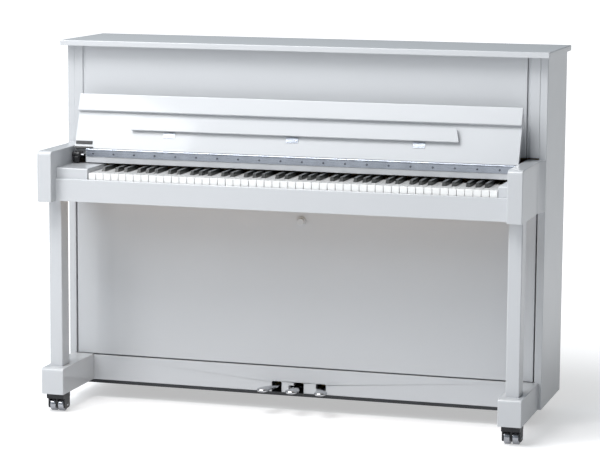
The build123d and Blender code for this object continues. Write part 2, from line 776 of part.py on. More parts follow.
# ------------------------------------------------------------------ casters
def build_front_caster(sign, name):
    """The swivelling fork of a double caster: stem, plate, skirt, three cheeks and the axle."""
    x = sign * FRONT_CASTER_X
    axle_y = FRONT_CASTER_Y + WHEEL_TRAIL
    half = 27
    cheek = 4
    with BuildPart() as fork:
        span(x - half, x + half, FRONT_CASTER_Y - 25, FRONT_CASTER_Y + 27, 41, TOE_BOTTOM_Z - 0.4)
        for cheek_x in (x - half + cheek / 2, x, x + half - cheek / 2):
            span(cheek_x - cheek / 2, cheek_x + cheek / 2, axle_y - 19, axle_y + 19, 9, 41)
        fillet(fork.edges().filter_by(Axis.X).group_by(Axis.Z)[0], 8)
        for side in (-1, 1):
            well_x = x + side * (half / 2 - cheek / 4)
            with Locations(Location((well_x, axle_y, WHEEL_RADIUS), (0, 90, 0))):
                Cylinder(WHEEL_RADIUS + 1.5, WHEEL_WIDTH + 1.5, mode=Mode.SUBTRACT)
        with Locations(Location((x, axle_y, WHEEL_RADIUS), (0, 90, 0))):
            Cylinder(AXLE_RADIUS, 2 * half)
        with Locations((x, FRONT_CASTER_Y, TOE_BOTTOM_Z + 15)):
            Cylinder(5, 32)
    write(fork, name)


def build_front_wheels(sign, name):
    x = sign * FRONT_CASTER_X
    axle_y = FRONT_CASTER_Y + WHEEL_TRAIL
    half = 27
    cheek = 4
    with BuildPart() as wheels:
        for side in (-1, 1):
            well_x = x + side * (half / 2 - cheek / 4)
            with Locations(Location((well_x, axle_y, WHEEL_RADIUS), (0, 90, 0))):
                Cylinder(WHEEL_RADIUS, WHEEL_WIDTH)
                Cylinder(AXLE_RADIUS + RUNNING_GAP, WHEEL_WIDTH, mode=Mode.SUBTRACT)
        fillet(wheels.edges().filter_by(GeomType.CIRCLE).group_by(SortBy.RADIUS)[-1], 2)
    write(wheels, name)


def build_rear_casters():
    """Two fixed brackets under the back of the case, each with its axle."""
    half = 17
    with BuildPart() as brackets:
        for x in (-REAR_CASTER_X, REAR_CASTER_X):
            span(x - 28, x + 28, REAR_CASTER_Y - 30, REAR_CASTER_Y + 30, 42, CASE_FLOOR_Z - 10)
            for side in (-1, 1):
                cheek_x = x + side * (half - 2)
                span(cheek_x - 2, cheek_x + 2, REAR_CASTER_Y - 12, REAR_CASTER_Y + 12, 10, 42)
            with Locations(Location((x, REAR_CASTER_Y, REAR_WHEEL_RADIUS), (0, 90, 0))):
                Cylinder(AXLE_RADIUS, 2 * half)
    write(brackets, "rear_casters")


def build_rear_wheels():
    with BuildPart() as wheels:
        for x in (-REAR_CASTER_X, REAR_CASTER_X):
            with Locations(Location((x, REAR_CASTER_Y, REAR_WHEEL_RADIUS), (0, 90, 0))):
                Cylinder(REAR_WHEEL_RADIUS, 24)
                Cylinder(AXLE_RADIUS + RUNNING_GAP, 24, mode=Mode.SUBTRACT)
        fillet(wheels.edges().filter_by(GeomType.CIRCLE).group_by(SortBy.RADIUS)[-1], 2)
    write(wheels, "rear_wheels")


for sign, side_name in ((-1, "left"), (1, "right")):
    build_side(sign, f"side_panel_{side_name}")
    build_arm(sign, f"arm_{side_name}")
    build_leg(sign, f"leg_{side_name}")
    build_toe_block(sign, f"toe_block_{side_name}")
    build_front_caster(sign, f"front_caster_{side_name}")
    build_front_wheels(sign, f"front_wheels_{side_name}")

build_lid()
build_lid_hinges()
build_stiles()
build_upper_panel()
build_lower_panel()
build_catch_knob()
build_bottom_rail()
build_bottom_board()
build_keybed()
build_key_slip()
build_key_blocks()
build_key_frame()
build_nameboard_rail()
build_fallboard()
build_fallboard_lip()
build_music_shelf()
build_shelf_hinges()
build_fallboard_hinge()
build_soft_fall_damper()

for kind in range(12):
    if kind in SHARP_CLASSES:
        build_black_keys(kind)
    else:
        build_white_keys(kind)

build_action_frame()
build_hammers()
build_hammer_rest_rail()
build_dampers()
build_muffler_rail()
build_strings()
build_tuning_pins()
build_soundboard()
build_iron_plate()
build_back_frame()

build_pedal(-PEDAL_SPACING, -PEDAL_SPLAY, "soft_pedal")
build_pedal(0, 0, "muffler_pedal")
build_pedal(PEDAL_SPACING, PEDAL_SPLAY, "sustain_pedal")
build_pedal_rod(-PEDAL_SPACING, "soft_pedal_rod")
build_pedal_rod(PEDAL_SPACING, "sustain_pedal_rod")

build_rear_casters()
build_rear_wheels()
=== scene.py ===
"""The looks of a white upright piano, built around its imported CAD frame. Metres, +Z up, front at -Y."""

import math

import bmesh
import bpy
from mathutils import Matrix, Vector


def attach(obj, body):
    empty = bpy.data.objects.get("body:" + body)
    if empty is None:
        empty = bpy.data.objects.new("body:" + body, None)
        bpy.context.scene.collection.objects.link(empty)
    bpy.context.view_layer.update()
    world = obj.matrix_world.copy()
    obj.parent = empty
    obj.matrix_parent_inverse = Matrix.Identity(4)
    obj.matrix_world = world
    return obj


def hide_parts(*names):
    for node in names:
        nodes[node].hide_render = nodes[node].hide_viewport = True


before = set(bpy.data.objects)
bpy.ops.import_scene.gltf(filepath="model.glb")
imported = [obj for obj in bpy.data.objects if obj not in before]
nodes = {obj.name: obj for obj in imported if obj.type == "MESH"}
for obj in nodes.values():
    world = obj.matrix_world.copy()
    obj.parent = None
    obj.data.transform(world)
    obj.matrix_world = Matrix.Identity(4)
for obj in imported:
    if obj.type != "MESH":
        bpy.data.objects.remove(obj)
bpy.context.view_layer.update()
MM = 0.001

# Camera: where the eye stands, the angles it looks along, and its lens
CAMERA_PLACE = (1.9403, -6.5531, 1.5532)
CAMERA_YAW = 0.2885
CAMERA_PITCH = -0.1492
CAMERA_ROLL = 0.0064
CAMERA_LENS = 139.37

# Fallboard: its hinge line, lean, and sizes in its own plane
HINGE_LINE = Vector((0, -122 * MM, 780 * MM))
LEAN = math.radians(22.4)
ALONG_BOARD = Vector((0, math.sin(LEAN), math.cos(LEAN)))
OFF_BOARD = Vector((0, -math.cos(LEAN), math.sin(LEAN)))

# Hinge strip in front of the nameboard rail
STRIP_LEFT = -636 * MM
STRIP_RIGHT = 674 * MM
STRIP_FRONT_Y = -122.6 * MM
STRIP_SCREW_Z = 768 * MM
STRIP_SCREWS = 20
STRIP_SCREW_SPACING = 65 * MM
FIRST_STRIP_SCREW = 22 * MM
KNUCKLE_LENGTH = 13 * MM

# Hinges of the lid and of the music flap, with the screws on either side of their middles, in mm
LID_HINGE_XS = (-520, 0, 520)
LID_SCREW_OFFSETS = (-32, 0, 32)
LID_UNDER_Z = 1084 * MM
LID_LEAF_THICK = 1.6 * MM
FLAP_HINGE_XS = (-380, 0, 380)
FLAP_SCREW_OFFSETS = (-12, 12)

# Soft-fall unit: where its turned body and stem start, their shared axis, and its pads
SOFT_FALL_X = -677 * MM
SOFT_FALL_STEM_X = -652 * MM
SOFT_FALL_Y = -124 * MM
SOFT_FALL_Z = 764 * MM
SOFT_FALL_PAD_THICK = 2.4

# Buttons behind the open fallboard, in mm across and up it, and off its face
BUTTON_XS = (-520, 0, 520)
BUTTON_UP = 140
BUTTON_OFF = -18

# Keys: behind this line the levers are bare wood
KEY_COVER_BACK_Y = -103 * MM

# Strings: the bass ones cross in front of this line
BASS_STRINGS_BACK_Y = 155 * MM

# Felt heads start at these heights
HAMMER_FELT_Z = 925 * MM
DAMPER_FELT_Z = 880 * MM

# Pedals
PEDAL_Z = 78 * MM
PEDAL_SPACING = 69 * MM
PEDAL_SPLAY = 20 * MM
PEDAL_BACK_Y = 148 * MM
PEDAL_NECK_Y = -29 * MM
PEDAL_TOE_Y = -88 * MM
PEDAL_TIP_Y = -114 * MM
PEDAL_BAR_HALF = 10
PEDAL_TOE_HALF = 19
PEDAL_SIDES = 20
SLOT_HALF = 15.4 * MM
SLOT_FELT_THICK = 1.4 * MM
PEDAL_TOE_STEPS = 30

# Wheels
FRONT_WHEEL_X = 691.5 * MM
FRONT_AXLE_Y = -216 * MM
FRONT_AXLE_Z = 20 * MM
REAR_WHEEL_X = 640 * MM
REAR_AXLE_Y = 215 * MM
REAR_AXLE_Z = 18 * MM
FRONT_WHEEL_RADIUS = 20 * MM
FRONT_WHEEL_WIDTH = 18 * MM
FRONT_WHEEL_OFFSET = 12.5 * MM
REAR_WHEEL_RADIUS = 18 * MM
REAR_WHEEL_WIDTH = 24 * MM
CHEEK_OUTER = 26.8 * MM

# Floor: its reach, how strongly it glows near the piano, where the weaker glow is a painted shadow, and
# far off, where the change lies, and the share of that glow that falls on the piano, since the camera
# sees all of it
FLOOR_HALF = 60.0
FLOOR_GLOW_NEAR_PAINTED_SHADOW = 0.46
FLOOR_GLOW_FAR = 0.95
FLOOR_GLOW_FROM = 0.7
FLOOR_GLOW_TO = 2.6
FLOOR_GLOW_UNSEEN = 0.5

# Lights: place, the point they are turned to, size, and power in watts
OVERHEAD_PLACE = (-1.0, -1.9, 4.0)
OVERHEAD_TARGET = (0, -0.1, 0.9)
OVERHEAD_SIZE = (2.6, 1.8)
OVERHEAD_POWER = 155
KEY_PLACE = (-2.6, -3.2, 2.8)
KEY_TARGET = (-0.2, 0, 1.0)
KEY_SIZE = (1.6, 1.6)
KEY_POWER = 48

# Surround: its strength at the left and at the right, and as the camera sees it
SURROUND_LEFT = 0.6
SURROUND_RIGHT = 0.02
SURROUND_SEEN = 1.05


# ---------------------------------------------------------------- materials
def new_material(name, colour, roughness, metallic=0.0, coat=0.0):
    """A material with its constant values set on the shader's own sockets."""
    mat = bpy.data.materials.new(name)
    mat.use_nodes = True
    shader = mat.node_tree.nodes["Principled BSDF"]
    shader.inputs["Base Color"].default_value = (*colour, 1)
    shader.inputs["Roughness"].default_value = roughness
    shader.inputs["Metallic"].default_value = metallic
    shader.inputs["Coat Weight"].default_value = coat
    shader.inputs["Coat Roughness"].default_value = 0.05
    return mat, shader


def noise(mat, scale, stretch=(1, 1, 1), detail=4.0):
    """A noise texture over the object's own coordinates, stretched along its axes."""
    tree = mat.node_tree
    coords = tree.nodes.new("ShaderNodeTexCoord")
    mapping = tree.nodes.new("ShaderNodeMapping")
    mapping.inputs["Scale"].default_value = stretch
    texture = tree.nodes.new("ShaderNodeTexNoise")
    texture.inputs["Scale"].default_value = scale
    texture.inputs["Detail"].default_value = detail
    tree.links.new(coords.outputs["Object"], mapping.inputs["Vector"])
    tree.links.new(mapping.outputs["Vector"], texture.inputs["Vector"])
    return texture.outputs["Fac"]


def ramp(mat, value, low_colour, high_colour, low=0.3, high=0.7):
    """A colour that runs from one to the other as the value goes from low to high."""
    node = mat.node_tree.nodes.new("ShaderNodeValToRGB")
    node.color_ramp.elements[0].position = low
    node.color_ramp.elements[0].color = (*low_colour, 1)
    node.color_ramp.elements[1].position = high
    node.color_ramp.elements[1].color = (*high_colour, 1)
    mat.node_tree.links.new(value, node.inputs["Fac"])
    return node.outputs["Color"]


def spread(mat, value, low, high):
    """A number that runs from low to high with the value."""
    node = mat.node_tree.nodes.new("ShaderNodeMapRange")
    node.inputs["From Min"].default_value = 0.3
    node.inputs["From Max"].default_value = 0.7
    node.inputs["To Min"].default_value = low
    node.inputs["To Max"].default_value = high
    mat.node_tree.links.new(value, node.inputs["Value"])
    return node.outputs["Result"]


def bump(mat, shader, value, strength, distance):
    """Raises the surface with the value."""
    node = mat.node_tree.nodes.new("ShaderNodeBump")
    node.inputs["Strength"].default_value = strength
    node.inputs["Distance"].default_value = distance
    mat.node_tree.links.new(value, node.inputs["Height"])
    mat.node_tree.links.new(node.outputs["Normal"], shader.inputs["Normal"])


def scaled(colour, factor):
    """A colour made lighter or darker."""
    return tuple(min(1.0, channel * factor) for channel in colour)


def polished(name, colour, roughness, coat):
    """Gloss lacquer over paint: a faint cloudiness in its colour and in its gloss."""
    mat, shader = new_material(name, colour, roughness, coat=coat)
    clouds = noise(mat, 3.0)
    links = mat.node_tree.links
    links.new(ramp(mat, clouds, scaled(colour, 0.985), scaled(colour, 1.01)), shader.inputs["Base Color"])
    haze = noise(mat, 14.0)
    links.new(spread(mat, haze, roughness * 0.94, roughness * 1.06), shader.inputs["Roughness"])
    shader.inputs["Specular IOR Level"].default_value = 0.25
    return mat


def metal(name, colour, roughness, grain=(1, 1, 1), grain_scale=300.0, depth=0.0001):
    """Metal with a fine grain and uneven polish."""
    mat, shader = new_material(name, colour, roughness, metallic=1.0)
    links = mat.node_tree.links
    wear = noise(mat, 30.0)
    links.new(ramp(mat, wear, scaled(colour, 0.88), scaled(colour, 1.05)), shader.inputs["Base Color"])
    fine = noise(mat, grain_scale, grain)
    links.new(spread(mat, fine, roughness * 0.7, roughness * 1.4), shader.inputs["Roughness"])
    bump(mat, shader, fine, 0.12, depth)
    return mat


def matt(name, colour, roughness, scale=400.0, depth=0.0003, strength=0.3, metallic=0.0):
    """Plastic, paint or felt with a fine even texture."""
    mat, shader = new_material(name, colour, roughness, metallic=metallic)
    links = mat.node_tree.links
    tone = noise(mat, 18.0)
    links.new(ramp(mat, tone, scaled(colour, 0.85), scaled(colour, 1.15)), shader.inputs["Base Color"])
    fine = noise(mat, scale)
    links.new(spread(mat, fine, roughness * 0.85, min(1.0, roughness * 1.15)), shader.inputs["Roughness"])
    bump(mat, shader, fine, strength, depth)
    return mat


def wood_colour(mat, light, dark, stretch, scale):
    """The colour of planed wood: broad tone with fine dark pores, stretched along the grain."""
    tree = mat.node_tree
    broad = ramp(mat, noise(mat, scale, stretch), dark, light, 0.35, 0.65)
    pores = ramp(mat, noise(mat, scale * 7, stretch, 8.0), (0.55, 0.5, 0.45), (1, 1, 1), 0.3, 0.5)
    mix = tree.nodes.new("ShaderNodeMix")
    mix.data_type = "RGBA"
    mix.blend_type = "MULTIPLY"
    mix.inputs["Factor"].default_value = 0.6
    tree.links.new(broad, mix.inputs[6])
    tree.links.new(pores, mix.inputs[7])
    return mix.outputs[2]


def wood(name, light, dark, stretch, scale=18.0, roughness=0.5, coat=0.0):
    """Planed wood with its grain drawn out along one axis."""
    mat, shader = new_material(name, light, roughness, coat=coat)
    links = mat.node_tree.links
    links.new(wood_colour(mat, light, dark, stretch, scale), shader.inputs["Base Color"])
    grain = noise(mat, scale * 7, stretch, 8.0)
    links.new(spread(mat, grain, roughness * 1.2, roughness * 0.85), shader.inputs["Roughness"])
    bump(mat, shader, grain, 0.25, 0.0004)
    return mat


def part_way(mat, axis, limit, near, far):
    """One colour below a limit on an axis of the object and the other above it."""
    tree = mat.node_tree
    coords = tree.nodes.new("ShaderNodeTexCoord")
    split = tree.nodes.new("ShaderNodeSeparateXYZ")
    past = tree.nodes.new("ShaderNodeMath")
    past.operation = "GREATER_THAN"
    past.inputs[1].default_value = limit
    mix = tree.nodes.new("ShaderNodeMix")
    mix.data_type = "RGBA"
    tree.links.new(coords.outputs["Object"], split.inputs["Vector"])
    tree.links.new(split.outputs[axis], past.inputs[0])
    tree.links.new(past.outputs["Value"], mix.inputs["Factor"])
    for socket, value in ((mix.inputs[6], near), (mix.inputs[7], far)):
        if isinstance(value, tuple):
            socket.default_value = (*value, 1)
        else:
            tree.links.new(value, socket)
    return mix.outputs[2]


def key_material(name, cover, roughness):
    """A key: its polished cover in front, and its planed wooden lever behind."""
    mat, shader = new_material(name, cover, roughness, coat=0.3)
    links = mat.node_tree.links
    tone = ramp(mat, noise(mat, 20.0), scaled(cover, 0.97), scaled(cover, 1.02))
    lever = wood_colour(mat, (0.66, 0.47, 0.27), (0.52, 0.35, 0.19), (1, 0.06, 1), 30.0)
    links.new(part_way(mat, "Y", KEY_COVER_BACK_Y, tone, lever), shader.inputs["Base Color"])
    links.new(spread(mat, noise(mat, 60.0), roughness * 0.8, roughness * 1.3), shader.inputs["Roughness"])
    bump(mat, shader, noise(mat, 500.0), 0.04, 0.0001)
    return mat


def string_material():
    """Copper windings on the bass strings, which lie in front, and bare steel behind."""
    mat, shader = new_material("string_wire", (0.6, 0.6, 0.6), 0.3, metallic=1.0)
    copper = ramp(mat, noise(mat, 25.0), (0.58, 0.28, 0.13), (0.74, 0.38, 0.2))
    steel = ramp(mat, noise(mat, 25.0), (0.5, 0.5, 0.52), (0.68, 0.68, 0.7))
    colour = part_way(mat, "Y", BASS_STRINGS_BACK_Y, copper, steel)
    mat.node_tree.links.new(colour, shader.inputs["Base Color"])
    windings = mat.node_tree.nodes.new("ShaderNodeTexWave")
    coords = mat.node_tree.nodes.new("ShaderNodeTexCoord")
    windings.bands_direction = "Z"
    windings.inputs["Scale"].default_value = 260.0
    mat.node_tree.links.new(coords.outputs["Object"], windings.inputs["Vector"])
    bump(mat, shader, windings.outputs["Fac"], 0.4, 0.0002)
    return mat


def hammer_material(name, felt_from_z):
    """Felt heads above a height, and maple below it."""
    mat, shader = new_material(name, (0.8, 0.78, 0.72), 0.9)
    felt = ramp(mat, noise(mat, 160.0, detail=8.0), (0.72, 0.69, 0.62), (0.86, 0.84, 0.78))
    maple = wood_colour(mat, (0.70, 0.52, 0.32), (0.58, 0.40, 0.23), (1, 1, 0.08), 40.0)
    links = mat.node_tree.links
    links.new(part_way(mat, "Z", felt_from_z, maple, felt), shader.inputs["Base Color"])
    bump(mat, shader, noise(mat, 900.0, detail=8.0), 0.5, 0.0004)
    return mat


WHITE = (0.57, 0.583, 0.603)
white_gloss = polished("white_polyester", WHITE, 0.3, 0.55)
white_keytop = key_material("white_keytop", (0.87, 0.87, 0.865), 0.18)
black_keytop = key_material("black_keytop", (0.022, 0.024, 0.024), 0.34)
chrome = metal("chrome_plate", (0.5, 0.51, 0.53), 0.08, depth=0.00003)
satin_steel = metal("satin_steel", (0.44, 0.47, 0.53), 0.26, grain=(0.05, 1, 1))
wheel_steel = metal("wheel_steel", (0.42, 0.43, 0.46), 0.22, grain=(1, 0.4, 0.4))
screw_steel = metal("screw_steel", (0.16, 0.17, 0.2), 0.3)
pin_steel = metal("pin_steel", (0.38, 0.40, 0.46), 0.3)
black_plastic = matt("black_plastic", (0.02, 0.02, 0.022), 0.42)
black_iron = matt("black_iron", (0.015, 0.015, 0.018), 0.4, scale=220.0, depth=0.0004)
black_board = matt("black_board", (0.02, 0.022, 0.026), 0.35, scale=120.0)
rubber = matt("grey_rubber", (0.06, 0.06, 0.065), 0.75)
white_rubber = matt("white_rubber", (0.72, 0.72, 0.73), 0.6)
# Near-black felt: a real felt strip, whose black colour also paints the shade behind the keys.
felt_and_painted_shade = matt("felt_and_painted_shade", (0.02, 0.02, 0.024), 0.95, scale=1400.0, depth=0.0006, strength=0.7)
green_felt = matt("green_felt", (0.03, 0.12, 0.06), 0.95, scale=1400.0, depth=0.0006, strength=0.7)
bronze = matt("bronze_plate", (0.50, 0.34, 0.12), 0.36, scale=500.0, depth=0.0005, metallic=0.8)
beech_across = wood("beech_along_x", (0.62, 0.44, 0.26), (0.48, 0.32, 0.17), (0.05, 1, 1))
beech_upright = wood("beech_along_z", (0.60, 0.43, 0.25), (0.46, 0.31, 0.17), (1, 1, 0.05))
pine = wood("pine_posts", (0.70, 0.53, 0.33), (0.58, 0.40, 0.22), (1, 1, 0.045), scale=14.0)
spruce = wood("spruce_board", (0.74, 0.52, 0.27), (0.62, 0.40, 0.18), (0.62, 1, 0.62), 26.0, 0.35, 0.5)
string_wire = string_material()
hammer_felt = hammer_material("hammer_felt", HAMMER_FELT_Z)
damper_felt = hammer_material("damper_felt", DAMPER_FELT_Z)

GLOSS_NODES = (
    "side_panel_left", "side_panel_right", "arm_left", "arm_right", "leg_left", "leg_right",
    "toe_block_left", "toe_block_right", "stiles", "upper_panel", "lower_panel", "bottom_rail",
    "key_slip", "key_blocks", "nameboard_rail", "fallboard", "fallboard_lip", "music_shelf",
    "lid", "panel_catch_knob",
)
NODE_MATERIALS = {
    "lid_hinges": satin_steel, "fallboard_hinge": satin_steel, "music_shelf_hinges": satin_steel,
    "bottom_board": black_board, "keybed": beech_across, "key_frame": beech_across,
    "back_frame": pine, "action_frame": beech_upright, "hammers": hammer_felt,
    "dampers": damper_felt, "hammer_rest_rail": beech_across, "muffler_rail": green_felt,
    "soft_pedal_rod": beech_upright, "sustain_pedal_rod": beech_upright, "soundboard": spruce,
    "iron_plate": bronze, "strings": string_wire, "tuning_pins": pin_steel,
    "soft_fall_damper": black_plastic, "front_caster_left": black_iron,
    "front_caster_right": black_iron, "rear_casters": black_iron,
    "soft_pedal": chrome, "muffler_pedal": chrome, "sustain_pedal": chrome,
    "front_wheels_left": wheel_steel, "front_wheels_right": wheel_steel, "rear_wheels": wheel_steel,
}
for node_name in GLOSS_NODES:
    NODE_MATERIALS[node_name] = white_gloss
for node_name in nodes:
    if node_name.startswith("keys_"):
        NODE_MATERIALS[node_name] = black_keytop if "sharp" in node_name else white_keytop


def dress_node(name, mat):
    """Gives a CAD node its material in every slot."""
    node = nodes[name]
    if not node.material_slots:
        node.data.materials.append(mat)
    for material_slot in node.material_slots:
        material_slot.material = mat


def ease_edges(name, width, segments=3):
    """Rounds a CAD node's sharp edges with modifiers, so that they catch the light."""
    node = nodes[name]
    weld = node.modifiers.new("weld", "WELD")
    weld.merge_threshold = 0.00001
    bevel = node.modifiers.new("eased_edges", "BEVEL")
    bevel.width = width
    bevel.segments = segments
    bevel.limit_method = "ANGLE"
    bevel.angle_limit = math.radians(40)
    bevel.harden_normals = True


for node_name, node_material in NODE_MATERIALS.items():
    dress_node(node_name, node_material)
EASED = {
    "lid": 4.0, "side_panel_left": 1.5, "side_panel_right": 1.5, "leg_left": 1.5, "leg_right": 1.5,
    "toe_block_left": 5.0, "toe_block_right": 5.0, "arm_left": 5.0, "arm_right": 5.0,
    "bottom_rail": 1.2, "key_slip": 1.5, "stiles": 1.2, "nameboard_rail": 1.0,
}
for node_name, edge in EASED.items():
    ease_edges(node_name, edge * MM)
for node_name in nodes:
    if node_name.startswith("keys_"):
        ease_edges(node_name, 0.7 * MM, 2)


# ---------------------------------------------------------------- mesh helpers
def piece(name, mesh, mat, body, smooth_angle=35):
    """Turns a bmesh into a finished object that rides on a body."""
    bmesh.ops.remove_doubles(mesh, verts=mesh.verts, dist=0.000001)
    bmesh.ops.recalc_face_normals(mesh, faces=mesh.faces)
    data = bpy.data.meshes.new(name)
    mesh.to_mesh(data)
    mesh.free()
    data.materials.append(mat)
    made = bpy.data.objects.new(name, data)
    bpy.context.collection.objects.link(made)
    for face in data.polygons:
        face.use_smooth = True
    data.set_sharp_from_angle(angle=math.radians(smooth_angle))
    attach(made, body)
    return made


def facing(place, direction):
    """A matrix that puts local +Z along a direction, at a place."""
    turn = Vector(direction).normalized().to_track_quat("Z", "Y").to_matrix().to_4x4()
    return Matrix.Translation(place) @ turn


def turned(mesh, profile, matrix, segments=32):
    """Adds a closed turned form. The profile is (radius, height) pairs, from axis to axis."""
    rings = []
    for radius, height in profile:
        if radius < 0.000001:
            rings.append([mesh.verts.new(matrix @ Vector((0, 0, height)))])
            continue
        ring = []
        for step in range(segments):
            angle = 2 * math.pi * step / segments
            point = Vector((radius * math.cos(angle), radius * math.sin(angle), height))
            ring.append(mesh.verts.new(matrix @ point))
        rings.append(ring)
    for lower, upper in zip(rings, rings[1:]):
        for step in range(segments):
            after = (step + 1) % segments
            corners = [lower[step % len(lower)], lower[after % len(lower)],
                       upper[after % len(upper)], upper[step % len(upper)]]
            distinct = list(dict.fromkeys(corners))
            if len(distinct) > 2:
                mesh.faces.new(distinct)


def ring_turned(mesh, profile, matrix, segments=48):
    """Adds a ring. The profile is a closed loop of (radius, height) pairs off the axis."""
    loops = []
    for step in range(segments):
        angle = 2 * math.pi * step / segments
        loop = []
        for radius, height in profile:
            point = Vector((radius * math.cos(angle), radius * math.sin(angle), height))
            loop.append(mesh.verts.new(matrix @ point))
        loops.append(loop)
    count = len(profile)
    for step in range(segments):
        here = loops[step]
        there = loops[(step + 1) % segments]
        for index in range(count):
            after = (index + 1) % count
            mesh.faces.new((here[index], there[index], there[after], here[after]))


def eased_box(mesh, low, high, ease):
    """Adds a box between two corners with its edges rounded."""
    made = bmesh.ops.create_cube(mesh, size=1.0)["verts"]
    low = Vector(low)
    high = Vector(high)
    for vert in made:
        vert.co = Vector([(low[i] + high[i]) / 2 + vert.co[i] * (high[i] - low[i]) for i in range(3)])
    edges = list({edge for vert in made for edge in vert.link_edges})
    bmesh.ops.bevel(mesh, geom=edges, offset=ease, segments=3, affect="EDGES", profile=0.5)


def screw(mesh, place, direction, radius, height=0.0008):
    """Adds a domed screw head with a cross recess cut as a sunk star."""
    matrix = facing(place, direction)
    arms = 4
    steps = 32
    rim = [(radius, 0.0), (radius * 0.97, height * 0.5), (radius * 0.8, height * 0.85)]
    rings = []
    for ring_radius, ring_height in rim:
        rings.append([(ring_radius, ring_height, 2 * math.pi * s / steps) for s in range(steps)])
    star = []
    floor = []
    for s in range(steps):
        angle = 2 * math.pi * s / steps
        on_arm = abs(((angle * arms / (2 * math.pi)) % 1) - 0.5) > 0.33
        reach = radius * (0.55 if on_arm else 0.16)
        star.append((reach, height, angle))
        floor.append((reach * 0.85, height * 0.35, angle))
    rings.append(star)
    rings.append(floor)
    loops = []
    for ring in rings:
        loop = []
        for ring_radius, ring_height, angle in ring:
            point = Vector((ring_radius * math.cos(angle), ring_radius * math.sin(angle), ring_height))
            loop.append(mesh.verts.new(matrix @ point))
        loops.append(loop)
    for lower, upper in zip(loops, loops[1:]):
        for s in range(steps):
            after = (s + 1) % steps
            mesh.faces.new((lower[s], lower[after], upper[after], upper[s]))
    for loop in (loops[0], loops[-1]):
        mesh.faces.new(loop)


def on_board(x, up, off):
    """A point given by x, the distance up the fallboard and the distance off its face, in mm."""
    return HINGE_LINE + Vector((x * MM, 0, 0)) + ALONG_BOARD * up * MM + OFF_BOARD * off * MM


# ---------------------------------------------------------------- hinges and screws
def build_hinge_strip():
    """The knuckles and the screws of the long fallboard hinge."""
    profile = [(0, 0), (2.5, 0), (3.0, 0.4), (3.0, 12.2), (2.5, 12.6), (0, 12.6)]
    profile = [(r * MM, h * MM) for r, h in profile]
    barrels = bmesh.new()
    for index in range(int((STRIP_RIGHT - STRIP_LEFT) / KNUCKLE_LENGTH)):
        start = STRIP_LEFT + index * KNUCKLE_LENGTH
        turned(barrels, profile, facing((start, HINGE_LINE.y, HINGE_LINE.z), (1, 0, 0)), 16)
    piece("hinge_knuckles", barrels, satin_steel, "case")
    screws = bmesh.new()
    for index in range(STRIP_SCREWS):
        x = STRIP_LEFT + FIRST_STRIP_SCREW + STRIP_SCREW_SPACING * index
        screw(screws, (x, STRIP_FRONT_Y, STRIP_SCREW_Z), (0, -1, 0), 3.2 * MM)
    piece("hinge_screws", screws, screw_steel, "case")


def build_lid_leaves():
    """The moving leaves of the lid's hinges, on the lid's underside, with their screws."""
    leaves = bmesh.new()
    heads = bmesh.new()
    leaf_z = LID_UNDER_Z - LID_LEAF_THICK
    for x in LID_HINGE_XS:
        low = ((x - 45) * MM, 255 * MM, leaf_z)
        high = ((x + 45) * MM, 286 * MM, LID_UNDER_Z)
        eased_box(leaves, low, high, 0.4 * MM)
        for offset in LID_SCREW_OFFSETS:
            screw(heads, ((x + offset) * MM, 264 * MM, leaf_z), (0, 0, -1), 3.5 * MM)
    piece("lid_hinge_leaves", leaves, satin_steel, "lid")
    piece("lid_hinge_leaf_screws", heads, chrome, "lid")
    fixed = bmesh.new()
    for x in LID_HINGE_XS:
        for offset in LID_SCREW_OFFSETS:
            screw(fixed, ((x + offset) * MM, 285 * MM, 1062 * MM), (0, 1, 0), 3.5 * MM)
    piece("lid_hinge_fixed_screws", fixed, chrome, "case")


def build_flap_screws():
    """The screws of the three small hinges under the music shelf."""
    heads = bmesh.new()
    for x in FLAP_HINGE_XS:
        for offset in FLAP_SCREW_OFFSETS:
            screw(heads, on_board(x + offset, 50.5, 1.4), OFF_BOARD, 1.8 * MM, 0.0005)
    piece("flap_hinge_screws", heads, chrome, "fallboard")


def build_buffers():
    """Small rubber buttons behind the open fallboard."""
    button = [(0, 0), (7, 0), (7.5, 0.6), (7.2, 3.2), (6, 4.2), (0, 4.6)]
    button = [(r * MM, h * MM) for r, h in button]
    board = bmesh.new()
    for x in BUTTON_XS:
        turned(board, button, facing(on_board(x, BUTTON_UP, BUTTON_OFF), -OFF_BOARD))
    piece("fallboard_buttons", board, white_rubber, "fallboard")


